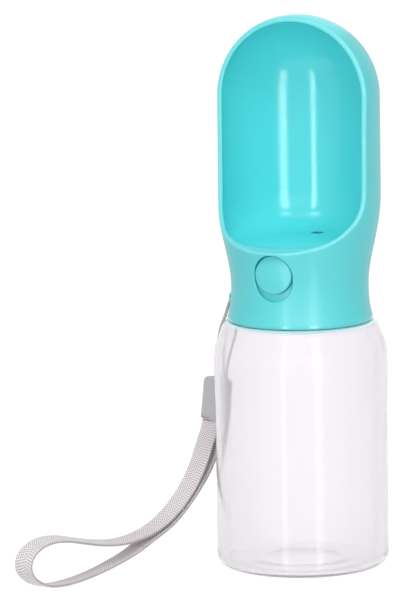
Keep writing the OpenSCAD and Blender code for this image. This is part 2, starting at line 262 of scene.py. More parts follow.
def black_rubber():
    m = Mat("black_rubber")
    v = m.coords()
    m.link(m.ramp(m.noise(v, 400.0, 3.0), [(0.3, (0.018, 0.018, 0.019)), (0.7, (0.035, 0.035, 0.036))]),
           m.p.inputs["Base Color"])
    m.link(m.span(m.noise(v, 900.0, 3.0), 0.3, 0.7, 0.5, 0.7), m.p.inputs["Roughness"])
    m.link(m.bump(m.noise(v, 2500.0, 3.0), 0.3, 0.00002), m.p.inputs["Normal"])
    return m.m


def steel():
    m = Mat("drawn_spring_steel")
    v = m.coords((1, 1, 1))
    m.link(m.ramp(m.noise(v, 700.0, 4.0), [(0.3, (0.50, 0.50, 0.51)), (0.7, (0.66, 0.66, 0.67))]),
           m.p.inputs["Base Color"])
    m.link(m.span(m.noise(v, 1600.0, 4.0), 0.3, 0.7, 0.22, 0.4), m.p.inputs["Roughness"])
    m.link(m.bump(m.noise(v, 3000.0, 2.0), 0.2, 0.00001), m.p.inputs["Normal"])
    m.set(Metallic=1.0)
    return m.m


HAZE = 0.74          # how much of the light the outer skin lets straight through


def clear_plastic():
    """Clear blown plastic: a faint lilac cast, a milky haze in the outer skin and a slow wave."""
    m = Mat("clear_blown_plastic")
    v = m.coords((1, 1, 0.35))
    skin = m.node("ShaderNodeAttribute", attribute_name="rib").outputs["Fac"]
    slow = m.noise(v, 30.0, 2.0)
    clear = m.ramp(slow, [(0.3, (0.974, 0.955, 0.979)), (0.7, (0.978, 0.959, 0.983))])
    milk = m.ramp(slow, [(0.3, (0.898, 0.869, 0.904)), (0.7, (0.906, 0.877, 0.912))])
    mix = m.node("ShaderNodeMix", data_type="RGBA")
    m.link(skin, mix.inputs[0])
    m.link(clear, mix.inputs[6])
    m.link(milk, mix.inputs[7])
    # painted reflection: the top of the shoulder is tinted mint and made less clear, standing in for the
    # teal collar reflected in it
    top = m.node("ShaderNodeAttribute", attribute_name="shoulder").outputs["Fac"]
    painted_collar_tint = m.node("ShaderNodeMix", data_type="RGBA", blend_type="MULTIPLY")
    m.link(top, painted_collar_tint.inputs[0])
    m.link(mix.outputs[2], painted_collar_tint.inputs[6])
    painted_collar_tint.inputs[7].default_value = (0.62, 1.0, 1.0, 1)
    m.link(painted_collar_tint.outputs[2], m.p.inputs["Base Color"])
    veil = m.node("ShaderNodeMath", operation="MINIMUM")
    m.link(m.span(skin, 0.0, 1.0, 1.0, HAZE), veil.inputs[0])
    m.link(m.span(top, 0.0, 1.0, 1.0, 0.35), veil.inputs[1])
    m.link(veil.outputs[0], m.p.inputs["Transmission Weight"])
    m.link(m.span(m.noise(v, 160.0, 3.0), 0.3, 0.7, 0.04, 0.07), m.p.inputs["Roughness"])
    m.link(m.bump(m.noise(v, 45.0, 1.0, 0.3), 0.04, 0.0006), m.p.inputs["Normal"])
    m.set(**{"IOR": 1.4, "Coat_Weight": 0.38, "Coat_Roughness": 0.2, "Coat_IOR": 1.4})
    m.p.inputs["Specular Tint"].default_value = (0.15, 0.15, 0.15, 1)
    return m.m


def webbing_mat():
    """Woven polyester: pale grey-lilac yarn with painted shade, darker between the ribs and along the
    selvedges, fine fibres.
    """
    m = Mat("woven_webbing")
    v = m.coords()
    a = m.node("ShaderNodeAttribute", attribute_name="rib")
    fibre = m.noise(v, 5200.0, 3.0, 0.7)
    slow = m.noise(v, 45.0, 2.0)
    # painted shade: low in the weave and at the selvedges the yarn is coloured darker
    groove_shade_colour = m.ramp(a.outputs["Fac"], [(0.0, (0.095, 0.089, 0.093)), (0.18, (0.308, 0.287, 0.297)),
                                   (0.5, (0.636, 0.60, 0.62)), (1.0, (0.92, 0.89, 0.905))])
    mix = m.node("ShaderNodeMix", data_type="RGBA", blend_type="MULTIPLY")
    mix.inputs[0].default_value = 1.0
    m.link(groove_shade_colour, mix.inputs[6])
    m.link(m.ramp(fibre, [(0.3, (0.88, 0.88, 0.88)), (0.7, (1, 1, 1))]), mix.inputs[7])
    mix2 = m.node("ShaderNodeMix", data_type="RGBA", blend_type="MULTIPLY")
    mix2.inputs[0].default_value = 1.0
    m.link(mix.outputs[2], mix2.inputs[6])
    m.link(m.ramp(slow, [(0.35, (0.97, 0.93, 0.945)), (0.65, (1, 1, 1))]), mix2.inputs[7])
    m.link(mix2.outputs[2], m.p.inputs["Base Color"])
    m.link(m.span(fibre, 0.2, 0.8, 0.6, 0.85), m.p.inputs["Roughness"])
    m.link(m.bump(fibre, 0.5, 0.00006), m.p.inputs["Normal"])
    m.set(**{"Sheen_Weight": 0.25, "Sheen_Roughness": 0.4, "Specular_IOR_Level": 0.35})
    return m.m


def string_mat():
    m = Mat("braided_string")
    v = m.coords()
    a = m.node("ShaderNodeAttribute", attribute_name="rib")
    fibre = m.noise(v, 4200.0, 3.0, 0.7)
    # painted shade: the yarn is coloured darker in the grooves between the strands
    groove_shade_colour = m.ramp(a.outputs["Fac"], [(0.0, (0.22, 0.21, 0.205)), (0.6, (0.42, 0.40, 0.395)),
                                   (1.0, (0.54, 0.52, 0.515))])
    mix = m.node("ShaderNodeMix", data_type="RGBA", blend_type="MULTIPLY")
    mix.inputs[0].default_value = 1.0
    m.link(groove_shade_colour, mix.inputs[6])
    m.link(m.ramp(fibre, [(0.3, (0.8, 0.8, 0.8)), (0.7, (1, 1, 1))]), mix.inputs[7])
    m.link(mix.outputs[2], m.p.inputs["Base Color"])
    m.link(m.span(fibre, 0.2, 0.8, 0.6, 0.8), m.p.inputs["Roughness"])
    m.link(m.bump(fibre, 0.5, 0.00005), m.p.inputs["Normal"])
    m.set(**{"Sheen_Weight": 0.15, "Specular_IOR_Level": 0.3})
    return m.m


mat_silicone, mat_rubber, mat_steel = silicone(), black_rubber(), steel()
mat_clear, mat_web, mat_string = clear_plastic(), webbing_mat(), string_mat()


# ---------------------------------------------------------------- mesh tools
def add_mesh(name, verts, faces, mat, normals=None, attribute=None, smooth=True):
    """A mesh object from points in millimetres."""
    me = bpy.data.meshes.new(name)
    v = np.asarray(verts, float) * MM
    f = np.asarray(faces)
    me.vertices.add(len(v))
    me.vertices.foreach_set("co", v.astype(np.float32).ravel())
    if f.dtype == object or f.ndim == 1:
        sizes = np.array([len(x) for x in faces])
        flat = np.concatenate([np.asarray(x) for x in faces])
    else:
        sizes = np.full(len(f), f.shape[1])
        flat = f.ravel()
    me.loops.add(len(flat))
    me.loops.foreach_set("vertex_index", flat.astype(np.int32))
    me.polygons.add(len(sizes))
    me.polygons.foreach_set("loop_start", np.concatenate([[0], np.cumsum(sizes)[:-1]]).astype(np.int32))
    me.polygons.foreach_set("loop_total", sizes.astype(np.int32))
    me.update(calc_edges=True)
    me.validate()
    if smooth:
        me.polygons.foreach_set("use_smooth", np.ones(len(me.polygons), bool))
    if attribute is not None:
        a = me.attributes.new("rib", "FLOAT", "POINT")
        a.data.foreach_set("value", np.asarray(attribute, np.float32))
    if normals is not None:
        me.normals_split_custom_set_from_vertices(np.asarray(normals, float).tolist())
    me.materials.append(mat)
    o = bpy.data.objects.new(name, me)
    scene.collection.objects.link(o)
    return o


def spline(points, n):
    """Catmull-Rom through the points, n samples to a span."""
    P = np.asarray(points, float)
    Q = np.vstack([2 * P[0] - P[1], P, 2 * P[-1] - P[-2]])
    out = []
    for i in range(len(P) - 1):
        a, b, c, d = Q[i:i + 4]
        t = (np.arange(n) / n)[:, None]
        out.append(0.5 * (2 * b + (c - a) * t + (2 * a - 5 * b + 4 * c - d) * t ** 2
                          + (3 * b - a - 3 * c + d) * t ** 3))
    out.append(P[-1:])
    return np.vstack(out)


def even(points, step):
    """The same line at an even spacing close to step."""
    P = np.asarray(points, float)
    s = np.concatenate([[0], np.cumsum(np.linalg.norm(np.diff(P, axis=0), axis=1))])
    n = max(2, int(round(s[-1] / step)) + 1)
    t = np.linspace(0, s[-1], n)
    return np.stack([np.interp(t, s, P[:, k]) for k in range(P.shape[1])], 1), t


def tangents(P):
    d = np.gradient(P, axis=0)
    return d / np.linalg.norm(d, axis=1)[:, None]


def grid_faces(n, m, wrap_m=True, wrap_n=False):
    """Quads of an n by m grid of points, closed round m."""
    i = np.arange(n if wrap_n else n - 1)[:, None]
    j = np.arange(m if wrap_m else m - 1)[None, :]
    a = i * m + j
    b = i * m + (j + 1) % m
    c = ((i + 1) % n) * m + (j + 1) % m
    d = ((i + 1) % n) * m + j
    return np.stack([a, b, c, d], -1).reshape(-1, 4)


# ---------------------------------------------------------------- cords
WEB = [[-44.03, 8.31, 54.86], [-44.14, 8.26, 53.57], [-44.15, 6.5, 50.6], [-44.4, 3.6, 47],
       [-44.6, 0.2, 42.6], [-45.1, -3.6, 37.5], [-46.5, -8, 31.5], [-48.5, -14, 25.55],
       [-51, -21, 20.3], [-54.5, -29.5, 15.8], [-58.5, -38.5, 13.6], [-62, -48, 13.3],
       [-66, -57, 14.6], [-69.5, -66.5, 17], [-73, -75, 19.3], [-76, -82, 20],
       [-78.5, -88.5, 18.8], [-80.3, -92.7, 16], [-81, -94.5, 12], [-80.5, -93.5, 7.8],
       [-78.7, -89.7, 4.2], [-76.5, -84.5, 2], [-74, -78, 1.2], [-70.5, -68.5, 1.5],
       [-66.5, -59, 3], [-63, -50, 5], [-59, -40.5, 8], [-55.5, -31.5, 12],
       [-51.5, -22, 16.8], [-48.5, -14, 22.8], [-46, -7, 29.2], [-44, -1, 35.8],
       [-43, 4, 42.3], [-42.8, 8, 48.6], [-43.1, 9.9, 51.6], [-43.29, 10.28, 53.41],
       [-43.17, 10.33, 54.71]]
STRING = [[-41.2, 8.8, 72.47], [-41.2, 8.7, 74.5], [-40.6, 7.2, 79.5], [-38.9, 4.4, 85.5],
          [-36.75, 1, 91], [-34.05, -2.35, 96.5], [-31.95, -3, 101], [-30.95, -2.3, 104.8],
          [-30.5, -1.5, 106.8], [-30.18, 0.4, 108], [-29.99, 2.6, 108], [-29.8, 4.9, 108],
          [-30.4, 6.4, 107], [-31.3, 7.8, 104], [-32.5, 8.7, 100], [-34.3, 9.3, 94],
          [-36.4, 9.8, 87], [-38.6, 10.1, 80.5], [-40.3, 10.3, 74.7], [-40.5, 10.3, 72.35]]
STRAP_A = math.radians(-23)


CRIMP_TOP, CRIMP_H, LEAN = np.array([-42.0, 10.0, 72.5]), 17.8, math.radians(5.6)


def leaned(d):
    """A direction turned with the crimp, about the line of sight through its top."""
    d, v = np.asarray(d, float), np.array([-math.sin(TURN), math.cos(TURN), 0.0])
    return d * math.cos(LEAN) + np.cross(v, d) * math.sin(LEAN) + v * (v @ d) * (1 - math.cos(LEAN))


def make_webbing():
    # both ends run on a little way into the crimp's mouth
    up = leaned((0, 0, 1))
    route = [np.array(WEB[0]) + 0.9 * up] + WEB + [np.array(WEB[-1]) + 0.9 * up]
    line, s = even(spline(route, 24), 0.22)
    # a light smoothing along the line, ends held
    for _ in range(60):
        line[1:-1] = 0.25 * line[:-2] + 0.5 * line[1:-1] + 0.25 * line[2:]
    T = tangents(line)
    w0 = np.array([math.cos(STRAP_A), math.sin(STRAP_A), 0])
    Wd = w0 - (T @ w0)[:, None] * T
    # the loop's two runs lean a little about the line, one each way
    Wd /= np.linalg.norm(Wd, axis=1)[:, None]
    Wd[:, 2] += np.interp(s, [70, 92, 108, 122, 138, 152, 172, 196, 225],
                          [0, -0.08, -0.09, -0.03, 0.02, 0.09, 0.13, 0.11, 0])
    Wd -= (Wd * T).sum(1)[:, None] * T
    Wd /= np.linalg.norm(Wd, axis=1)[:, None]
    N = np.cross(Wd, T)
    half_w, half_t = 5.0, 0.56
    x = np.concatenate([[-5.0, -4.93, -4.8, -4.6], np.linspace(-4.35, 4.35, 31), [4.6, 4.8, 4.93, 5.0]])
    edge = np.clip((half_w - np.abs(x)) / 0.5, 0, 1)
    crown = half_t * np.sqrt(1 - (1 - edge) ** 2)
    pitch, apex = 1.14, 1.5
    X, S = np.meshgrid(x, s)
    slant = np.abs(X - apex) * 0.3                # two fields of slanted ribs meet at the apex
    column = (X - apex) / 0.92
    warp = 0.5 + 0.5 * np.cos(2 * np.pi * column)
    selv = np.clip((np.abs(X) - 4.86) / 0.1, 0, 1)
    selv_rib = 0.5 + 0.5 * np.cos(2 * np.pi * S / 0.53)

    def weave(shift):
        step = np.pi * (np.round(column) % 2)        # neighbouring columns float in turn
        rib = 0.5 + 0.5 * np.cos(2 * np.pi * (S + slant) / pitch + shift + 1.0 * step)
        rib = rib ** 0.8 * (0.5 + 0.5 * warp ** 0.7)
        return (0.07 + 0.89 * rib) * (1 - selv) + (0.13 + 0.1 * selv_rib) * selv

    h, h_back = weave(0.0), weave(np.pi)
    amp = 0.13
    C, E = crown[None, :], edge[None, :] ** 0.5
    top = C + amp * (h - 0.4) * E
    bot = C + amp * (h_back - 0.4) * E
    # a row of dark stitches where the front layer leaves the crimp
    stitch = (S > 1.1) & (S < 1.75) & (np.abs(X) < 4.2) & (np.cos(2 * np.pi * X / 1.4) > 0.1)
    h = np.where(stitch, 0.0, h)
    h_back = np.where(stitch, 0.0, h_back)
    P1 = line[:, None, :] + X[:, :, None] * Wd[:, None, :] + top[:, :, None] * N[:, None, :]
    P2 = line[:, None, :] + X[:, :, None] * Wd[:, None, :] - bot[:, :, None] * N[:, None, :]
    ring = np.concatenate([P1, P2[:, ::-1][:, 1:-1]], 1)
    # the same heights go to the material, which paints the low parts of the weave and the selvedges darker
    # as painted shade
    weave_shade_value = np.concatenate([h, h_back[:, ::-1][:, 1:-1]], 1)
    n, m = ring.shape[:2]
    faces = grid_faces(n, m)
    caps = [list(range(m)), list(range((n - 1) * m, n * m))[::-1]]
    F = [list(q[::-1]) for q in faces.tolist()] + caps
    return add_mesh("webbing_loop", ring.reshape(-1, 3), np.array(F, dtype=object), mat_web,
                    attribute=weave_shade_value.ravel()), s[-1]


webbing, web_len = make_webbing()
webbing.data["centre_line_mm"] = float(web_len)
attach(webbing, "head")
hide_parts("lanyard_webbing")


def make_string():
    # both ends run down into the crimp's holes
    ends = [STRING[0][:2] + [71.0]], [STRING[-1][:2] + [71.0]]
    line, s = even(spline(ends[0] + STRING + ends[1], 24), 0.16)
    for _ in range(60):
        line[1:-1] = 0.25 * line[:-2] + 0.5 * line[1:-1] + 0.25 * line[2:]
    T = tangents(line)
    # frame carried along without twist
    A = np.zeros_like(line)
    a = np.cross(T[0], [1.0, 0, 0]); a /= np.linalg.norm(a)
    for i in range(len(line)):
        a = a - (a @ T[i]) * T[i]
        a /= np.linalg.norm(a)
        A[i] = a
    B = np.cross(T, A)
    m = 24
    th = np.arange(m) / m * 2 * np.pi
    TH, S = np.meshgrid(th, s)
    lay = 2 * np.pi * S / 3.4
    strand = np.abs(np.cos(1.5 * (TH - lay)))        # three twisted strands
    yarn = 0.5 + 0.5 * np.cos(9 * (TH + lay * 1.6))
    rib = strand ** 0.6
    R = 0.52 + 0.17 * rib + 0.018 * yarn
    ring = line[:, None, :] + R[:, :, None] * (np.cos(TH)[:, :, None] * A[:, None, :]
                                               + np.sin(TH)[:, :, None] * B[:, None, :])
    n = len(line)
    F = grid_faces(n, m).tolist() + [list(range(m))[::-1], list(range((n - 1) * m, n * m))]
    # the strand heights go to the material, which paints the grooves darker as painted shade
    return add_mesh("string_loop", ring.reshape(-1, 3), np.array(F, dtype=object), mat_string,
                    attribute=(0.8 * rib + 0.2 * yarn).ravel())


string = make_string()
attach(string, "head")
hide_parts("lanyard_string")


# ---------------------------------------------------------------- solids from distance functions
def rmax(a, b, r):
    """Intersection of two solids, its edge rounded to radius r."""
    if r <= 0:
        return np.maximum(a, b)
    u, v = np.maximum(a + r, 0), np.maximum(b + r, 0)
    return np.minimum(np.maximum(a, b), -r) + np.sqrt(u * u + v * v) \
        if False else np.where((a > -r) & (b > -r), np.sqrt(u * u + v * v) - r, np.maximum(a, b))


def rmin(a, b, r):
    return -rmax(-a, -b, r)


def gradient(f, P, e=0.01):
    g = np.empty_like(P)
    for k in range(3):
        d = np.zeros(3); d[k] = e
        g[:, k] = (f(P + d) - f(P - d)) / (2 * e)
    return g


def project(f, P, steps=4):
    for _ in range(steps):
        g = gradient(f, P)
        v = f(P)
        P = P - (v / np.maximum((g * g).sum(1), 0.05))[:, None] * g
    return P


def surface_nets(f, lo, hi, h):
    lo, hi = np.asarray(lo, float), np.asarray(hi, float)
    n = np.ceil((hi - lo) / h).astype(int) + 1
    ax = [lo[k] + h * np.arange(n[k]) for k in range(3)]
    G = np.stack(np.meshgrid(*ax, indexing="ij"), -1).reshape(-1, 3)
    V = f(G).reshape(n)
    inside = V < 0
    c = n - 1
    acc = np.zeros(tuple(c) + (3,))
    cnt = np.zeros(tuple(c))
    for axis in range(3):
        sl0 = [slice(None)] * 3; sl1 = [slice(None)] * 3
        sl0[axis] = slice(0, -1); sl1[axis] = slice(1, None)
        a, b = V[tuple(sl0)], V[tuple(sl1)]
        cross = (a < 0) != (b < 0)
        t = np.where(cross, a / np.where(cross, a - b, 1), 0)
        idx = np.stack(np.nonzero(cross), 1)
        pos = idx.astype(float)
        pos[:, axis] += t[cross]
        others = [k for k in range(3) if k != axis]
        for d1 in (0, -1):
            for d2 in (0, -1):
                cell = idx.copy()
                cell[:, others[0]] += d1
                cell[:, others[1]] += d2
                ok = np.all((cell >= 0) & (cell < c), 1)
                np.add.at(acc, tuple(cell[ok].T), pos[ok])
                np.add.at(cnt, tuple(cell[ok].T), 1)
    used = cnt > 0
    ids = -np.ones(tuple(c), int)
    ids[used] = np.arange(used.sum())
    P = acc[used] / cnt[used][:, None] * h + lo
    quads = []
    for axis in range(3):
        sl0 = [slice(None)] * 3; sl1 = [slice(None)] * 3
        sl0[axis] = slice(0, -1); sl1[axis] = slice(1, None)
        a, b = inside[tuple(sl0)], inside[tuple(sl1)]
        idx = np.stack(np.nonzero(a != b), 1)
        o1, o2 = [(1, 2), (2, 0), (0, 1)][axis]
        ok = (idx[:, o1] > 0) & (idx[:, o2] > 0) & (idx[:, o1] < n[o1] - 1) & (idx[:, o2] < n[o2] - 1)
        idx = idx[ok]
        flip = inside[tuple(idx.T)]
        q = []
        for d1, d2 in ((-1, -1), (0, -1), (0, 0), (-1, 0)):
            cell = idx.copy()
            cell[:, o1] += d1
            cell[:, o2] += d2
            q.append(ids[tuple(cell.T)])
        q = np.stack(q, 1)
        q[~flip] = q[~flip][:, ::-1]
        quads.append(q)
    return P, np.concatenate(quads)


def refine(f, P, T, angle, min_len, rounds):
    """Splits edges across which the surface turns, and puts the new points on it."""
    for _ in range(rounds):
        N = gradient(f, P)
        N /= np.maximum(np.linalg.norm(N, axis=1), 1e-9)[:, None]
        E = np.concatenate([T[:, [0, 1]], T[:, [1, 2]], T[:, [2, 0]]])
        E = np.sort(E, 1)
        key = E[:, 0].astype(np.int64) * len(P) + E[:, 1]
        uniq, inv = np.unique(key, return_inverse=True)
        a, b = uniq // len(P), uniq % len(P)
        L = np.linalg.norm(P[a] - P[b], axis=1)
        cosv = (N[a] * N[b]).sum(1)
        split = (cosv < math.cos(angle)) & (L > min_len)
        if not split.any():
            break
        mid = -np.ones(len(uniq), int)
        mid[split] = len(P) + np.arange(split.sum())
        new = project(f, 0.5 * (P[a[split]] + P[b[split]]), 3)
        # a new point that jumped away goes back to the middle of its edge
        back = np.linalg.norm(new - 0.5 * (P[a[split]] + P[b[split]]), axis=1) > 0.6 * L[split]
        new[back] = 0.5 * (P[a[split]] + P[b[split]])[back]
        P = np.vstack([P, new])
        nt = len(T)
        m = mid[inv].reshape(3, nt).T          # middle of edges 01, 12, 20
        k = (m >= 0).sum(1)
        out = [T[k == 0]]
        t, q = T[k == 3], m[k == 3]
        out += [np.stack([t[:, 0], q[:, 0], q[:, 2]], 1), np.stack([q[:, 0], t[:, 1], q[:, 1]], 1),
                np.stack([q[:, 2], q[:, 1], t[:, 2]], 1), q]
        for r in range(3):                      # turn each so that the split edge is 01
            sel = (k == 1) & (m[:, r] >= 0)
            t, q = np.roll(T[sel], -r, 1), m[sel, r]
            out += [np.stack([t[:, 0], q, t[:, 2]], 1), np.stack([q, t[:, 1], t[:, 2]], 1)]
            sel = (k == 2) & (m[:, r] < 0)      # unsplit edge first
            t, q = np.roll(T[sel], -r, 1), np.roll(m[sel], -r, 1)
            out += [np.stack([t[:, 2], q[:, 2], q[:, 1]], 1),
                    np.stack([t[:, 0], q[:, 1], q[:, 2]], 1),
                    np.stack([t[:, 0], t[:, 1], q[:, 1]], 1)]
        T = np.concatenate(out)
    return P, T


def solid(name, f, lo, hi, h, mat, angle=0.16, min_len=0.16, rounds=3):
    P, Q = surface_nets(f, lo, hi, h)
    P = project(f, P, 4)
    # two rounds of evening out, each put back on the surface
    for _ in range(2):
        acc = np.zeros_like(P); cnt = np.zeros(len(P))
        for k in range(4):
            np.add.at(acc, Q[:, k], P[Q[:, (k + 1) % 4]])
            np.add.at(acc, Q[:, k], P[Q[:, (k + 3) % 4]])
            np.add.at(cnt, Q[:, k], 2)
        M = acc / cnt[:, None]
        P = project(f, 0.5 * P + 0.5 * M, 3)
    d1 = np.linalg.norm(P[Q[:, 0]] - P[Q[:, 2]], axis=1)
    d2 = np.linalg.norm(P[Q[:, 1]] - P[Q[:, 3]], axis=1)
    s = d1 < d2
    T = np.concatenate([Q[s][:, [0, 1, 2]], Q[s][:, [0, 2, 3]],
                        Q[~s][:, [0, 1, 3]], Q[~s][:, [1, 2, 3]]])
    P, T = refine(f, P, T, angle, min_len, rounds)
    N = gradient(f, P, 0.004)
    N /= np.maximum(np.linalg.norm(N, axis=1), 1e-9)[:, None]
    print(f"solid {name}: {len(P)} points, {len(T)} triangles")
    return add_mesh(name, P, T, mat, normals=N)


# ---------------------------------------------------------------- drinking head
HEAD_R, HEAD_C, FLOOR, WALL = 33.2, 191.8, 133.4, 2.0
UNDER = FLOOR - 2.2
COLLAR = spline([(101.0, 29.8), (102.2, 29.5), (103, 29.28), (104.1, 29.02), (105.3, 28.75),
                 (106.6, 28.5), (108, 28.3), (110, 28.1), (112.2, 27.97), (114.5, 27.92),
                 (117, 27.97), (119.3, 28.12), (122, 28.45), (124.8, 28.92), (127.8, 29.5),
                 (130.5, 30.1), (133.4, 30.75), (138.5, 31.75), (143.8, 32.6), (148.5, 33.05),
                 (153, 33.2), (160, 33.2), (175, 33.2), (191.8, 33.2)], 24)
RIM = spline([(-36, 131.5), (-31.5, 132.1), (-29, 132.5), (-26.5, 133.6), (-23.5, 134.9),
              (-20.5, 136.6), (-17.2, 138.9), (-13.8, 141.9), (-11.2, 144.7), (-9.4, 147.8),
              (-8.3, 151.8), (-7.9, 157), (-7.7, 168), (-7.4, 182), (-7, 196), (-6.6, 207),
              (-6.2, 216), (-6, 230)], 16)


class Table:
    """A function of two variables held on a grid, read with a smooth cubic."""

    def __init__(self, f, lo, hi, h):
        self.lo, self.h = np.asarray(lo, float), h
        n = np.ceil((np.asarray(hi) - self.lo) / h).astype(int) + 1
        X, Y = np.meshgrid(self.lo[0] + h * np.arange(n[0]), self.lo[1] + h * np.arange(n[1]),
                           indexing="ij")
        self.v = f(X.ravel(), Y.ravel()).reshape(n)
        self.n = n

    def __call__(self, x, y):
        u, v = (x - self.lo[0]) / self.h, (y - self.lo[1]) / self.h
        u = np.clip(u, 1, self.n[0] - 3.001)
        v = np.clip(v, 1, self.n[1] - 3.001)
        i, j = np.floor(u).astype(int), np.floor(v).astype(int)
        a, b = u - i, v - j

        def w(t):
            return (-0.5 * t + t * t - 0.5 * t ** 3, 1 - 2.5 * t * t + 1.5 * t ** 3,
                    0.5 * t + 2 * t * t - 1.5 * t ** 3, -0.5 * t * t + 0.5 * t ** 3)
        wa, wb = w(a), w(b)
        out = 0
        for p in range(4):
            row = 0
            for q in range(4):
                row = row + wb[q] * self.v[i + p - 1, j + q - 1]
            out = out + wa[p] * row
        return out


def rim_distance(y, z):
    """Positive in front of the rim's side curve, where the head is cut away."""
    best = np.full(len(y), 1e9)
    for (y0, z0), (y1, z1) in zip(RIM[:-1], RIM[1:]):
        dy, dz = y1 - y0, z1 - z0
        t = np.clip(((y - y0) * dy + (z - z0) * dz) / (dy * dy + dz * dz), 0, 1)
        best = np.minimum(best, np.hypot(y - y0 - t * dy, z - z0 - t * dz))
    front = np.interp(z, RIM[:, 1], RIM[:, 0]) - y
    return np.where(front > 0, best, -best)


rim_table = Table(rim_distance, (-40, 126), (40, 230), 0.5)
collar_slope = np.gradient(COLLAR[:, 1], COLLAR[:, 0])


def head_skin(x, y, z):
    """Outside of the collar, wall and dome."""
    r = np.hypot(x, y)
    R = np.interp(z, COLLAR[:, 0], COLLAR[:, 1])
    k = np.interp(z, COLLAR[:, 0], collar_slope)
    side = (r - R) / np.sqrt(1 + k * k)
    return np.where(z < HEAD_C, side, np.sqrt(r * r + (z - HEAD_C) ** 2) - HEAD_R)


def bowl(r, z, ri, b, p):
    """A bowl of radius ri whose side turns into its floor over height b."""
    w = np.minimum(z - (FLOOR + b), 0) / b
    rho = r / ri
    q = np.sqrt(rho ** p + w * w)
    g = np.hypot(p * rho ** (p - 1) / ri, 2 * w / b)
    return np.where(z < FLOOR + b, (q - 1) * 2 * q / np.maximum(g, 1e-6), r - ri)


def trough_space(x, y, z):
    """Inside of the trough, negative in the hollow."""
    r = np.hypot(x, y)
    ri = HEAD_R - WALL
    back = bowl(r, z, ri, 16.5, 6.5)
    back = np.where(z > HEAD_C, np.sqrt(r * r + (z - HEAD_C) ** 2) - ri, back)
    # towards the lip the floor runs further out, so that the rim stays thin
    lip = np.maximum(bowl(np.hypot(x, y + 5), z, 27.0, 6.0, 9.0), z - 160)
    k = 3.5 * np.clip((z - FLOOR - 0.3) / 3.0, 0, 1) + 1e-6
    h = np.maximum(k - np.abs(back - lip), 0) / k
    return np.minimum(back, lip) - h * h * k / 4


BORE = np.array([(100.0, 27.9), (101.0, 27.8), (104.5, 26.8), (107.5, 26.4), (140, 26.4)])


LUG_C, LUG_S = math.cos(math.radians(-5)), math.sin(math.radians(-5))


def head_sdf(P):
    x, y, z = P[:, 0], P[:, 1], P[:, 2]
    r = np.hypot(x, y)
    body = rmax(head_skin(x, y, z), 101.0 - z, 1.25)
    xl, yl = x * LUG_C + y * LUG_S, -x * LUG_S + y * LUG_C
    lug = rmax(np.hypot(xl + 28.6, z - 108) - 3.4, np.abs(yl) - 2.2, 0.7)
    body = rmin(body, lug, 0.7)
    bore = rmax(r - np.interp(z, BORE[:, 0], BORE[:, 1]), z - UNDER, 0.2)
    s = rmax(body, -bore, 0.35)
    s = rmax(s, -trough_space(x, y, z), 0.3)
    s = rmax(s, rim_table(y, z), 0.75)
    win = np.hypot(x, z - np.clip(z, 120.1, 122.9)) - 8.2
    s = rmax(s, -np.maximum(win, y + 15), 0.35)
    # the drinking hole, undercut below its lip
    rh = 2.15 + np.clip((133.3 + 0.1 * (y - 18.5) - z) / 0.5, 0, 1) * 0.9
    hole = np.maximum(np.maximum(np.hypot(x, y - 18.5) - rh, 125 - z), z - 138)
    s = rmax(s, -hole, 0.12)
    eye = np.maximum(np.hypot(xl + 30.1, z - 108) - 1.0, xl + 27.2)
    return rmax(s, -eye, 0.3)


head = solid("head_shell", head_sdf, (-35, -35, 99.5), (35, 35, 226.5), 0.86, mat_teal,
             angle=0.2, min_len=0.25, rounds=2)
at = np.empty(3 * len(head.data.vertices), np.float32)
head.data.vertices.foreach_get("co", at)
at = at.reshape(-1, 3) / MM
# the lip mask that the teal material uses for its painted highlight
lip = head.data.attributes.new("rib", "FLOAT", "POINT")
lip.data.foreach_set("value", np.clip((rim_table(at[:, 1], at[:, 2]) + 1.1) / 0.4, 0, 1).astype(np.float32))
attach(head, "head")
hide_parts("drinking_head")


# ---------------------------------------------------------------- push button
FACE = spline([(113.5, 27.55), (115.5, 28.05), (117.5, 28.38), (120, 28.58), (122.5, 28.62),
               (125, 28.52), (127.5, 28.25), (129.5, 27.8), (131.5, 27.2)], 24)


def button_sdf(P):
    x, y, z = P[:, 0], P[:, 1], P[:, 2]
    rb = np.hypot(x, z - 122.9)
    crown = np.hypot(x, y) - np.interp(z, FACE[:, 0], FACE[:, 1])
    face = rmax(rmax(rb - 7.8, crown, 0.5), y + 25.4, 0.2)
    boss = np.maximum(rb - 6, np.maximum(y + 21.7, -26 - y))
    flange = np.maximum(np.maximum(np.maximum(rb - 9.3, z - 130.7), 115.2 - z),
                        np.maximum(y + 21.7, -22.9 - y))
    post = np.maximum(np.hypot(x, z - 119.4) - 1.6, np.maximum(y + 17.5, -22 - y))
    return np.minimum(np.minimum(face, boss), np.minimum(flange, post))


button = solid("button_cap", button_sdf, (-10.2, -30, 112.5), (10.2, -16.5, 133), 0.6, mat_teal,
               angle=0.14, min_len=0.12, rounds=3)
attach(button, "button")
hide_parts("push_button")


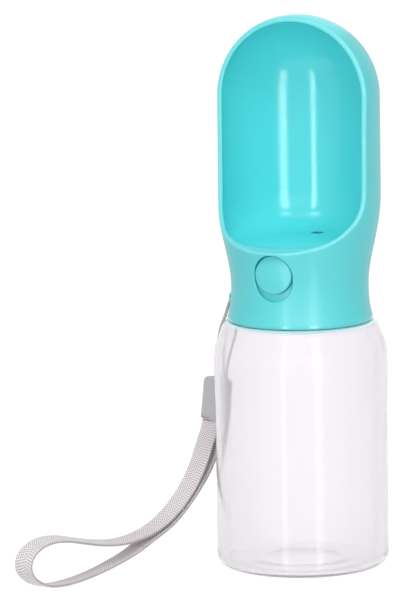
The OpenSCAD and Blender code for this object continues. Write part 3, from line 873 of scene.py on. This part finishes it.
# ---------------------------------------------------------------- crimp
def crimp_sdf(P):
    D = P - CRIMP_TOP
    u = D @ leaned((math.cos(STRAP_A), math.sin(STRAP_A), 0))
    v = D @ leaned((-math.sin(STRAP_A), math.cos(STRAP_A), 0))
    z = D @ leaned((0, 0, 1)) + CRIMP_H
    # outline: straight sides, shoulders rounded at the top
    qx, qz = np.abs(u) - (5.6 - 2.5), z - (CRIMP_H - 2.5)
    top = np.hypot(np.maximum(qx, 0), np.maximum(qz, 0)) + np.minimum(np.maximum(qx, qz), 0) - 2.5
    body = rmax(rmax(top, -z, 0.3), np.abs(v) - 2.3, 0.9)
    mouth = rmax(np.abs(u) - 5.15, np.abs(v) - 1.85, 0.4)
    mouth = np.maximum(mouth, z - 1.1)
    body = rmax(body, -mouth, 0.15)
    holes = np.minimum(np.hypot(D[:, 0] - 0.8, D[:, 1] + 1.2),
                       np.hypot(D[:, 0] - 1.5, D[:, 1] - 0.3)) - 0.78
    holes = np.maximum(holes, CRIMP_H - 1.6 - z)
    return rmax(body, -holes, 0.1)


crimp = solid("strap_crimp", crimp_sdf, (-51, 2, 53), (-35, 18, 74), 0.5, mat_crimp,
              angle=0.16, min_len=0.1, rounds=3)
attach(crimp, "head")
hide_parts("lanyard_crimp")


# ---------------------------------------------------------------- bottle
def bottle_profile():
    R = 35.0
    foot = [(R - 4.8 + 4.8 * math.cos(a), 4.8 + 4.8 * math.sin(a))
            for a in np.radians(np.linspace(-90, 0, 20))]
    outer = [(0.02, 0.55), (6, 0.55), (12, 0.53), (16, 0.5), (20, 0.4), (23, 0.2), (24.6, 0.06),
             (25.6, 0), (27, 0), (28.4, 0)]
    outer = spline(outer, 6).tolist() + foot
    up = [(0, 8), (0, 20), (0, 40), (0, 62), (0.15, 70), (0.3, 78), (0.3, 83.5), (0.15, 87.5),
          (-0.1, 89.8), (-0.5, 91.4), (-1.1, 93), (-1.75, 94.7), (-2.35, 96.3), (-2.85, 97.7),
          (-3.4, 98.8), (-4.1, 99.7), (-4.8, 100.25), (-5.5, 100.55), (-6.2, 100.7),
          (-9, 100.74), (-12.4, 100.75), (-13.8, 100.95), (-14.5, 101.8), (-14.5, 103.0)]
    outer += [(R + a, b) for a, b in spline(up, 6)]
    outer += [(20.5, z) for z in np.linspace(103.4, 108.2, 15)]
    outer += [(20.35, 108.55), (19.9, 108.8), (18.9, 108.8), (18.4, 108.7)]
    inner = [(18.2, 108.3), (18.2, 105), (18.2, 102.4), (18.25, 101.2), (18.7, 99.9), (20.4, 99.3),
             (24, 99.2), (28, 99.2), (29, 98.9), (29.8, 98.1), (30.4, 97.1), (31, 95.7),
             (31.7, 94), (32.3, 92.3), (32.9, 90.7), (33.3, 89.2), (33.6, 87.2), (33.8, 83),
             (33.8, 78), (33.65, 70), (33.5, 62), (33.5, 40), (33.5, 15), (33.5, 8.4),
             (33.4, 5.2), (33, 3.5), (32.3, 2.5), (31.2, 1.9), (29.6, 1.75), (27, 1.85),
             (23, 2.15), (20, 2.4), (18.2, 2.55), (17.4, 2.6), (16.6, 2.6), (15.5, 2.57),
             (14, 2.5), (11, 2.45), (6, 2.42), (3, 2.42), (0.02, 2.42)]
    return np.array(outer), spline(inner, 6)


def make_bottle():
    outer, inner = bottle_profile()
    prof = np.vstack([outer, inner])
    m = 192
    th = np.arange(m) / m * 2 * np.pi
    r = np.repeat(prof[:, 0][:, None], m, 1)
    z = np.repeat(prof[:, 1][:, None], m, 1)
    # the neck's thread: a ridge on a helix of 4 mm rise, over 390 degrees
    neck = np.zeros(len(prof), bool)
    neck[:len(outer)] = (outer[:, 1] > 101.2) & (outer[:, 1] < 108.6) & (outer[:, 0] < 20.6)
    for turn in (0, 1):
        ang = np.degrees(th)[None, :] + 360 * turn
        along = np.clip(np.minimum(ang, 390 - ang) / 40, 0, 1)
        along = np.where((ang >= 0) & (ang <= 390), 0.15 + 0.85 * along, 0)
        dz = np.abs(z - (102.9 + 4 * ang / 360))
        bump = 1.2 * np.clip((1.0 - dz) / 0.55, 0, 1) * along
        r = np.where(neck[:, None], np.maximum(r, 20.5 + bump), r)
    x, y = r * np.cos(th)[None, :], r * np.sin(th)[None, :]
    P = np.stack([x, y, z], -1).reshape(-1, 3)
    n = len(prof)
    F = grid_faces(n, m)
    F = F[:, ::-1] if False else F
    caps = [list(range(m))[::-1], list(range((n - 1) * m, n * m))]
    skin = np.repeat(np.arange(n) < len(outer), m).astype(float)
    o = add_mesh("bottle_shell", P, np.array(F.tolist() + caps, dtype=object), mat_clear,
                 attribute=skin)
    # painted reflection: the top of the shoulder is marked so that the material tints it mint, standing in
    # for the collar that stands on it, reflected in it
    top = np.repeat(np.clip((prof[:, 1] - 99.3) / 1.0, 0, 1) * (prof[:, 0] > 21.5), m)
    a = o.data.attributes.new("shoulder", "FLOAT", "POINT")
    a.data.foreach_set("value", top.astype(np.float32))
    return o


bottle = make_bottle()
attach(bottle, "bottle")
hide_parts("bottle")


# ---------------------------------------------------------------- springs
def spring(name, mean, wire, length, turns, place):
    n = turns * 40
    t = np.linspace(0, 1, n + 1)
    a = 2 * np.pi * turns * t
    zc = wire + (length - 2 * wire) * t
    line = np.stack([mean * np.cos(a), mean * np.sin(a), zc], 1)
    T = tangents(line)
    A = np.stack([np.cos(a), np.sin(a), 0 * a], 1)
    B = np.cross(T, A)
    m = 12
    th = np.arange(m) / m * 2 * np.pi
    ring = line[:, None, :] + wire * (np.cos(th)[None, :, None] * A[:, None, :]
                                      + np.sin(th)[None, :, None] * B[:, None, :])
    P = place(ring.reshape(-1, 3))
    F = grid_faces(n + 1, m)[:, ::-1].tolist() + [list(range(m)), list(range(n * m, (n + 1) * m))[::-1]]
    return add_mesh(name, P, np.array(F, dtype=object), mat_steel)


def on_valve(P):
    return P + np.array([0, 6.0, 101.65])


def on_button(P):
    # along +Y, round the button's post
    return np.stack([P[:, 0], P[:, 2] - 21.65, 119.4 - P[:, 1]], 1)


valve_coil = spring("valve_coil", 4.3, 0.4, 8.5, 5, on_valve)
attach(valve_coil, "head")
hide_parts("valve_spring")
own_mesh(valve_coil)
button_coil = spring("button_coil", 2.9, 0.35, 9.4, 6, on_button)
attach(button_coil, "slider")
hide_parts("button_spring")
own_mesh(button_coil)


# ---------------------------------------------------------------- CAD nodes that stay
FINISH = {"inner_cap": mat_white, "neck_seal": mat_silicone, "valve_housing": mat_white,
          "outlet_seal": mat_silicone, "stem_oring": mat_rubber, "oring_retainer": mat_white,
          "valve_stem": mat_white, "valve_seal": mat_silicone,
          "spring_retainer": mat_white, "lift_collar": mat_white, "lock_slider": mat_teal,
          "cam_fork": mat_white}
for node, mat in FINISH.items():
    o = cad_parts[node]
    o.data.materials.clear()
    o.data.materials.append(mat)


# ---------------------------------------------------------------- stage and light
FLOOR_GLOW = 0.9


def stage():
    m = Mat("studio_floor")
    v = m.coords()
    m.link(m.ramp(m.noise(v, 3.0, 3.0), [(0.3, (0.145, 0.145, 0.145)), (0.7, (0.155, 0.155, 0.155))]),
           m.p.inputs["Base Color"])
    m.set(**{"Roughness": 0.9, "Specular_IOR_Level": 0.1, "Emission_Strength": FLOOR_GLOW})
    m.p.inputs["Emission Color"].default_value = (1, 1, 1, 1)
    n = 8
    P = [(x, y, -0.3) for y in np.linspace(-9000, 9000, n) for x in np.linspace(-9000, 9000, n)]
    o = add_mesh("studio_floor", P, grid_faces(n, n, wrap_m=False), m.m)
    o.visible_glossy = False


def area(name, azimuth, elevation, distance, size, energy, target=(0, 0, 0.12), color=(1, 1, 1)):
    """azimuth is measured from the camera's side, positive to the right of the picture."""
    a = math.radians(azimuth)
    e = math.radians(elevation)
    d = turned((math.sin(a) * math.cos(e), -math.cos(a) * math.cos(e), math.sin(e)))
    light = bpy.data.lights.new(name, "AREA")
    light.shape = "RECTANGLE"
    light.size, light.size_y = size
    light.energy = energy
    light.color = color
    o = bpy.data.objects.new(name, light)
    scene.collection.objects.link(o)
    o.location = Vector(target) + d * distance
    o.rotation_euler = d.to_track_quat("Z", "Y").to_euler()
    return o


stage()


def soft_ends(light, fade=0.16):
    """Dims a strip light towards its two ends."""
    light.data.use_nodes = True
    t = light.data.node_tree
    em = next(n for n in t.nodes if n.type == "EMISSION")
    geo = t.nodes.new("ShaderNodeNewGeometry")
    cut = t.nodes.new("ShaderNodeSeparateXYZ")
    t.links.new(geo.outputs["Parametric"], cut.inputs[0])
    parts = []
    for lo, hi in ((0.0, fade), (1.0, 1.0 - fade)):
        r = t.nodes.new("ShaderNodeMapRange")
        r.interpolation_type = "SMOOTHSTEP"
        for k, v in zip(("From Min", "From Max", "To Min", "To Max"), (lo, hi, 0.0, 1.0)):
            r.inputs[k].default_value = v
        t.links.new(cut.outputs[1], r.inputs["Value"])
        parts.append(r.outputs["Result"])
    m = t.nodes.new("ShaderNodeMath")
    m.operation = "MINIMUM"
    t.links.new(parts[0], m.inputs[0])
    t.links.new(parts[1], m.inputs[1])
    t.links.new(m.outputs[0], em.inputs["Strength"])


for strip in (area("left_strip", -23.5, 0, 1.7, (0.19, 2.4), 13),
              area("right_strip", 22.5, 0, 1.7, (0.34, 2.4), 19)):
    strip.visible_diffuse = False
    soft_ends(strip)
front = area("front_fill", 1, 9, 2.4, (1.8, 1.4), 32)
front.visible_glossy = False
fill = area("overhead", -2, 60, 1.9, (1.5, 1.2), 20)
fill.visible_glossy = False
for side in (-1, 1):
    spot = area(f"top_box_{side + 1}", 30 * side, 47, 1.8, (0.42, 0.42), 2.4)
    spot.visible_diffuse = False

# white behind the object and below it, a dim studio in front
world = bpy.data.worlds.new("soft_studio")
world.use_nodes = True
wt = world.node_tree
bg = wt.nodes["Background"]
tc = wt.nodes.new("ShaderNodeTexCoord")


def toward(direction, lo, hi, a, b):
    dot = wt.nodes.new("ShaderNodeVectorMath")
    dot.operation = "DOT_PRODUCT"
    dot.inputs[1].default_value = direction
    wt.links.new(tc.outputs["Generated"], dot.inputs[0])
    r = wt.nodes.new("ShaderNodeMapRange")
    r.interpolation_type = "SMOOTHSTEP"
    for k, v in zip(("From Min", "From Max", "To Min", "To Max"), (lo, hi, a, b)):
        r.inputs[k].default_value = v
    wt.links.new(dot.outputs["Value"], r.inputs["Value"])
    return r.outputs["Result"]


back = toward(tuple(turned((0, 1, 0))), 0.35, 0.85, 0.70, 1.0)
below = toward((0, 0, -1), 0.2, 0.62, 0.0, 1.0)
top = wt.nodes.new("ShaderNodeMath")
top.operation = "MAXIMUM"
wt.links.new(back, top.inputs[0])
wt.links.new(below, top.inputs[1])
bg.inputs[0].default_value = (1, 1, 1, 1)
wt.links.new(top.outputs[0], bg.inputs[1])
scene.world = world
scene.view_settings.view_transform = "Standard"
